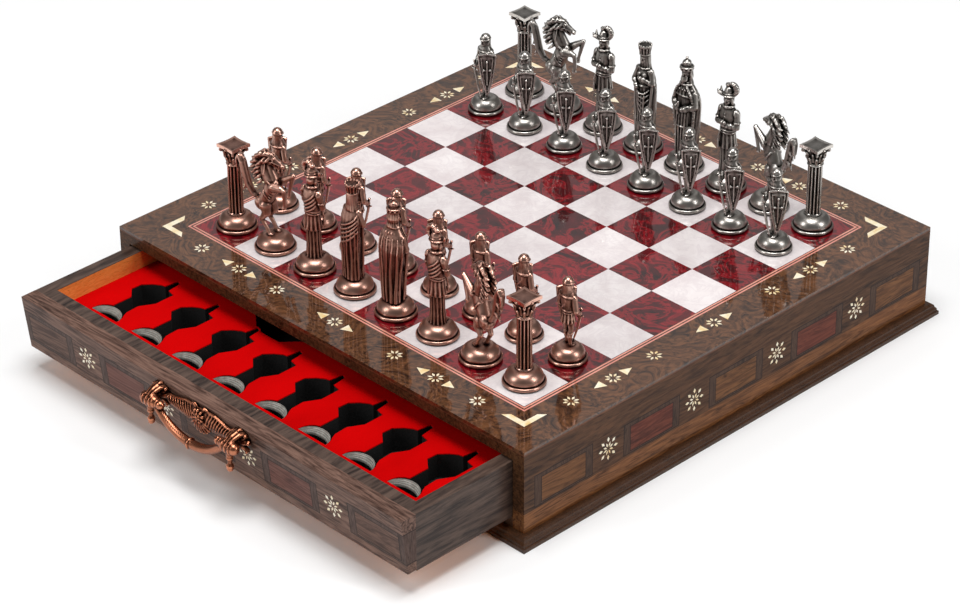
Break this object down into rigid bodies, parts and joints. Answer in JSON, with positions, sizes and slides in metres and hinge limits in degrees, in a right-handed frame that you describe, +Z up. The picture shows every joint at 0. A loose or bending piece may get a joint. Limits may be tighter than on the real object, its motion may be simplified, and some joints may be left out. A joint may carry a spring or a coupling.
{
  "type": "chess box with drawers",
  "caption": "Chess board box with two opposite drawers, shaped trays, swinging bail handles and a full set of cast metal figure pieces.",
  "frame": {"origin": "under the middle of the board, on the surface that the box stands on", "axes": "+Z up; -Y the front, where the drawer stands open; +X the right side; the ranks run along X and the files along Y"},
  "size_m": [0.409, 0.521, 0.158],
  "materials": {
    "walnut_veneer": "dark burl veneer under gloss lacquer",
    "cream_inlay": "cream inlay under gloss lacquer",
    "copper_line": "copper-pink stringing under gloss lacquer",
    "pearl_lacquer": "pearl-white marbled veneer, gloss lacquer",
    "burgundy_lacquer": "burgundy marbled veneer, gloss lacquer",
    "raw_wood": "plain orange-brown wood, satin",
    "black_foam": "soft black foam, matt",
    "red_velvet": "bright red velvet, matt",
    "antique_bronze": "antique bronze, worn bright on the high spots",
    "antique_copper": "antique copper, dark in the hollows",
    "antique_silver": "antique silver, dark in the hollows"
  },
  "bodies": {
    "box": {"top_panel": "walnut_veneer", "marquetry_veneer": "walnut_veneer", "star_inlays": "cream_inlay", "border_strips": "copper_line", "light_squares": "pearl_lacquer", "dark_squares": "burgundy_lacquer", "left_side_wall": "walnut_veneer", "right_side_wall": "walnut_veneer", "centre_divider": "raw_wood", "drawer_deck": "walnut_veneer", "bottom_panel": "walnut_veneer", "plinth_mouldings": "walnut_veneer"},
    "front_drawer": {"front_drawer_face": "walnut_veneer", "front_drawer_stars": "cream_inlay", "front_drawer_walls": "raw_wood", "front_drawer_floor": "raw_wood", "front_drawer_foam": "black_foam", "front_drawer_velvet": "red_velvet", "front_drawer_handle_mount": "antique_bronze"},
    "front_bail": {"front_drawer_handle_bail": "antique_bronze"},
    "back_drawer": {"back_drawer_face": "walnut_veneer", "back_drawer_stars": "cream_inlay", "back_drawer_walls": "raw_wood", "back_drawer_floor": "raw_wood", "back_drawer_foam": "black_foam", "back_drawer_velvet": "red_velvet", "back_drawer_handle_mount": "antique_bronze"},
    "back_bail": {"back_drawer_handle_bail": "antique_bronze"},
    "copper_rook_a_piece": {"copper_rook_a": "antique_copper"},
    "copper_pawn_a_piece": {"copper_pawn_a": "antique_copper"},
    "copper_knight_b_piece": {"copper_knight_b": "antique_copper"},
    "copper_pawn_b_piece": {"copper_pawn_b": "antique_copper"},
    "copper_bishop_c_piece": {"copper_bishop_c": "antique_copper"},
    "copper_pawn_c_piece": {"copper_pawn_c": "antique_copper"},
    "copper_queen_d_piece": {"copper_queen_d": "antique_copper"},
    "copper_pawn_d_piece": {"copper_pawn_d": "antique_copper"},
    "copper_king_e_piece": {"copper_king_e": "antique_copper"},
    "copper_pawn_e_piece": {"copper_pawn_e": "antique_copper"},
    "copper_bishop_f_piece": {"copper_bishop_f": "antique_copper"},
    "copper_pawn_f_piece": {"copper_pawn_f": "antique_copper"},
    "copper_knight_g_piece": {"copper_knight_g": "antique_copper"},
    "copper_pawn_g_piece": {"copper_pawn_g": "antique_copper"},
    "copper_rook_h_piece": {"copper_rook_h": "antique_copper"},
    "copper_pawn_h_piece": {"copper_pawn_h": "antique_copper"},
    "silver_rook_a_piece": {"silver_rook_a": "antique_silver"},
    "silver_pawn_a_piece": {"silver_pawn_a": "antique_silver"},
    "silver_knight_b_piece": {"silver_knight_b": "antique_silver"},
    "silver_pawn_b_piece": {"silver_pawn_b": "antique_silver"},
    "silver_bishop_c_piece": {"silver_bishop_c": "antique_silver"},
    "silver_pawn_c_piece": {"silver_pawn_c": "antique_silver"},
    "silver_queen_d_piece": {"silver_queen_d": "antique_silver"},
    "silver_pawn_d_piece": {"silver_pawn_d": "antique_silver"},
    "silver_king_e_piece": {"silver_king_e": "antique_silver"},
    "silver_pawn_e_piece": {"silver_pawn_e": "antique_silver"},
    "silver_bishop_f_piece": {"silver_bishop_f": "antique_silver"},
    "silver_pawn_f_piece": {"silver_pawn_f": "antique_silver"},
    "silver_knight_g_piece": {"silver_knight_g": "antique_silver"},
    "silver_pawn_g_piece": {"silver_pawn_g": "antique_silver"},
    "silver_rook_h_piece": {"silver_rook_h": "antique_silver"},
    "silver_pawn_h_piece": {"silver_pawn_h": "antique_silver"}
  },
  "joints": [
    {"name": "front_drawer_slide", "type": "slide", "parent": "box", "child": "front_drawer", "axis": [0, -1, 0], "range_m": [-0.095, 0.055]},
    {"name": "front_bail_hinge", "type": "hinge", "parent": "front_drawer", "child": "front_bail", "pos_m": [0, -0.30339, 0.0495], "axis": [-1, 0, 0], "range_deg": [-4, 80]},
    {"name": "back_drawer_slide", "type": "slide", "parent": "box", "child": "back_drawer", "axis": [0, 1, 0], "range_m": [0, 0.15]},
    {"name": "back_bail_hinge", "type": "hinge", "parent": "back_drawer", "child": "back_bail", "pos_m": [0, 0.20839, 0.0495], "axis": [1, 0, 0], "range_deg": [-4, 80]},
    {"name": "copper_rook_a_lift", "type": "slide", "parent": "box", "child": "copper_rook_a_piece", "axis": [0, 0, 1], "range_m": [0, 0.1]},
    {"name": "copper_pawn_a_lift", "type": "slide", "parent": "box", "child": "copper_pawn_a_piece", "axis": [0, 0, 1], "range_m": [0, 0.1]},
    {"name": "copper_knight_b_lift", "type": "slide", "parent": "box", "child": "copper_knight_b_piece", "axis": [0, 0, 1], "range_m": [0, 0.1]},
    {"name": "copper_pawn_b_lift", "type": "slide", "parent": "box", "child": "copper_pawn_b_piece", "axis": [0, 0, 1], "range_m": [0, 0.1]},
    {"name": "copper_bishop_c_lift", "type": "slide", "parent": "box", "child": "copper_bishop_c_piece", "axis": [0, 0, 1], "range_m": [0, 0.1]},
    {"name": "copper_pawn_c_lift", "type": "slide", "parent": "box", "child": "copper_pawn_c_piece", "axis": [0, 0, 1], "range_m": [0, 0.1]},
    {"name": "copper_queen_d_lift", "type": "slide", "parent": "box", "child": "copper_queen_d_piece", "axis": [0, 0, 1], "range_m": [0, 0.1]},
    {"name": "copper_pawn_d_lift", "type": "slide", "parent": "box", "child": "copper_pawn_d_piece", "axis": [0, 0, 1], "range_m": [0, 0.1]},
    {"name": "copper_king_e_lift", "type": "slide", "parent": "box", "child": "copper_king_e_piece", "axis": [0, 0, 1], "range_m": [0, 0.1]},
    {"name": "copper_pawn_e_lift", "type": "slide", "parent": "box", "child": "copper_pawn_e_piece", "axis": [0, 0, 1], "range_m": [0, 0.1]},
    {"name": "copper_bishop_f_lift", "type": "slide", "parent": "box", "child": "copper_bishop_f_piece", "axis": [0, 0, 1], "range_m": [0, 0.1]},
    {"name": "copper_pawn_f_lift", "type": "slide", "parent": "box", "child": "copper_pawn_f_piece", "axis": [0, 0, 1], "range_m": [0, 0.1]},
    {"name": "copper_knight_g_lift", "type": "slide", "parent": "box", "child": "copper_knight_g_piece", "axis": [0, 0, 1], "range_m": [0, 0.1]},
    {"name": "copper_pawn_g_lift", "type": "slide", "parent": "box", "child": "copper_pawn_g_piece", "axis": [0, 0, 1], "range_m": [0, 0.1]},
    {"name": "copper_rook_h_lift", "type": "slide", "parent": "box", "child": "copper_rook_h_piece", "axis": [0, 0, 1], "range_m": [0, 0.1]},
    {"name": "copper_pawn_h_lift", "type": "slide", "parent": "box", "child": "copper_pawn_h_piece", "axis": [0, 0, 1], "range_m": [0, 0.1]},
    {"name": "silver_rook_a_lift", "type": "slide", "parent": "box", "child": "silver_rook_a_piece", "axis": [0, 0, 1], "range_m": [0, 0.1]},
    {"name": "silver_pawn_a_lift", "type": "slide", "parent": "box", "child": "silver_pawn_a_piece", "axis": [0, 0, 1], "range_m": [0, 0.1]},
    {"name": "silver_knight_b_lift", "type": "slide", "parent": "box", "child": "silver_knight_b_piece", "axis": [0, 0, 1], "range_m": [0, 0.1]},
    {"name": "silver_pawn_b_lift", "type": "slide", "parent": "box", "child": "silver_pawn_b_piece", "axis": [0, 0, 1], "range_m": [0, 0.1]},
    {"name": "silver_bishop_c_lift", "type": "slide", "parent": "box", "child": "silver_bishop_c_piece", "axis": [0, 0, 1], "range_m": [0, 0.1]},
    {"name": "silver_pawn_c_lift", "type": "slide", "parent": "box", "child": "silver_pawn_c_piece", "axis": [0, 0, 1], "range_m": [0, 0.1]},
    {"name": "silver_queen_d_lift", "type": "slide", "parent": "box", "child": "silver_queen_d_piece", "axis": [0, 0, 1], "range_m": [0, 0.1]},
    {"name": "silver_pawn_d_lift", "type": "slide", "parent": "box", "child": "silver_pawn_d_piece", "axis": [0, 0, 1], "range_m": [0, 0.1]},
    {"name": "silver_king_e_lift", "type": "slide", "parent": "box", "child": "silver_king_e_piece", "axis": [0, 0, 1], "range_m": [0, 0.1]},
    {"name": "silver_pawn_e_lift", "type": "slide", "parent": "box", "child": "silver_pawn_e_piece", "axis": [0, 0, 1], "range_m": [0, 0.1]},
    {"name": "silver_bishop_f_lift", "type": "slide", "parent": "box", "child": "silver_bishop_f_piece", "axis": [0, 0, 1], "range_m": [0, 0.1]},
    {"name": "silver_pawn_f_lift", "type": "slide", "parent": "box", "child": "silver_pawn_f_piece", "axis": [0, 0, 1], "range_m": [0, 0.1]},
    {"name": "silver_knight_g_lift", "type": "slide", "parent": "box", "child": "silver_knight_g_piece", "axis": [0, 0, 1], "range_m": [0, 0.1]},
    {"name": "silver_pawn_g_lift", "type": "slide", "parent": "box", "child": "silver_pawn_g_piece", "axis": [0, 0, 1], "range_m": [0, 0.1]},
    {"name": "silver_rook_h_lift", "type": "slide", "parent": "box", "child": "silver_rook_h_piece", "axis": [0, 0, 1], "range_m": [0, 0.1]},
    {"name": "silver_pawn_h_lift", "type": "slide", "parent": "box", "child": "silver_pawn_h_piece", "axis": [0, 0, 1], "range_m": [0, 0.1]}
  ]
}
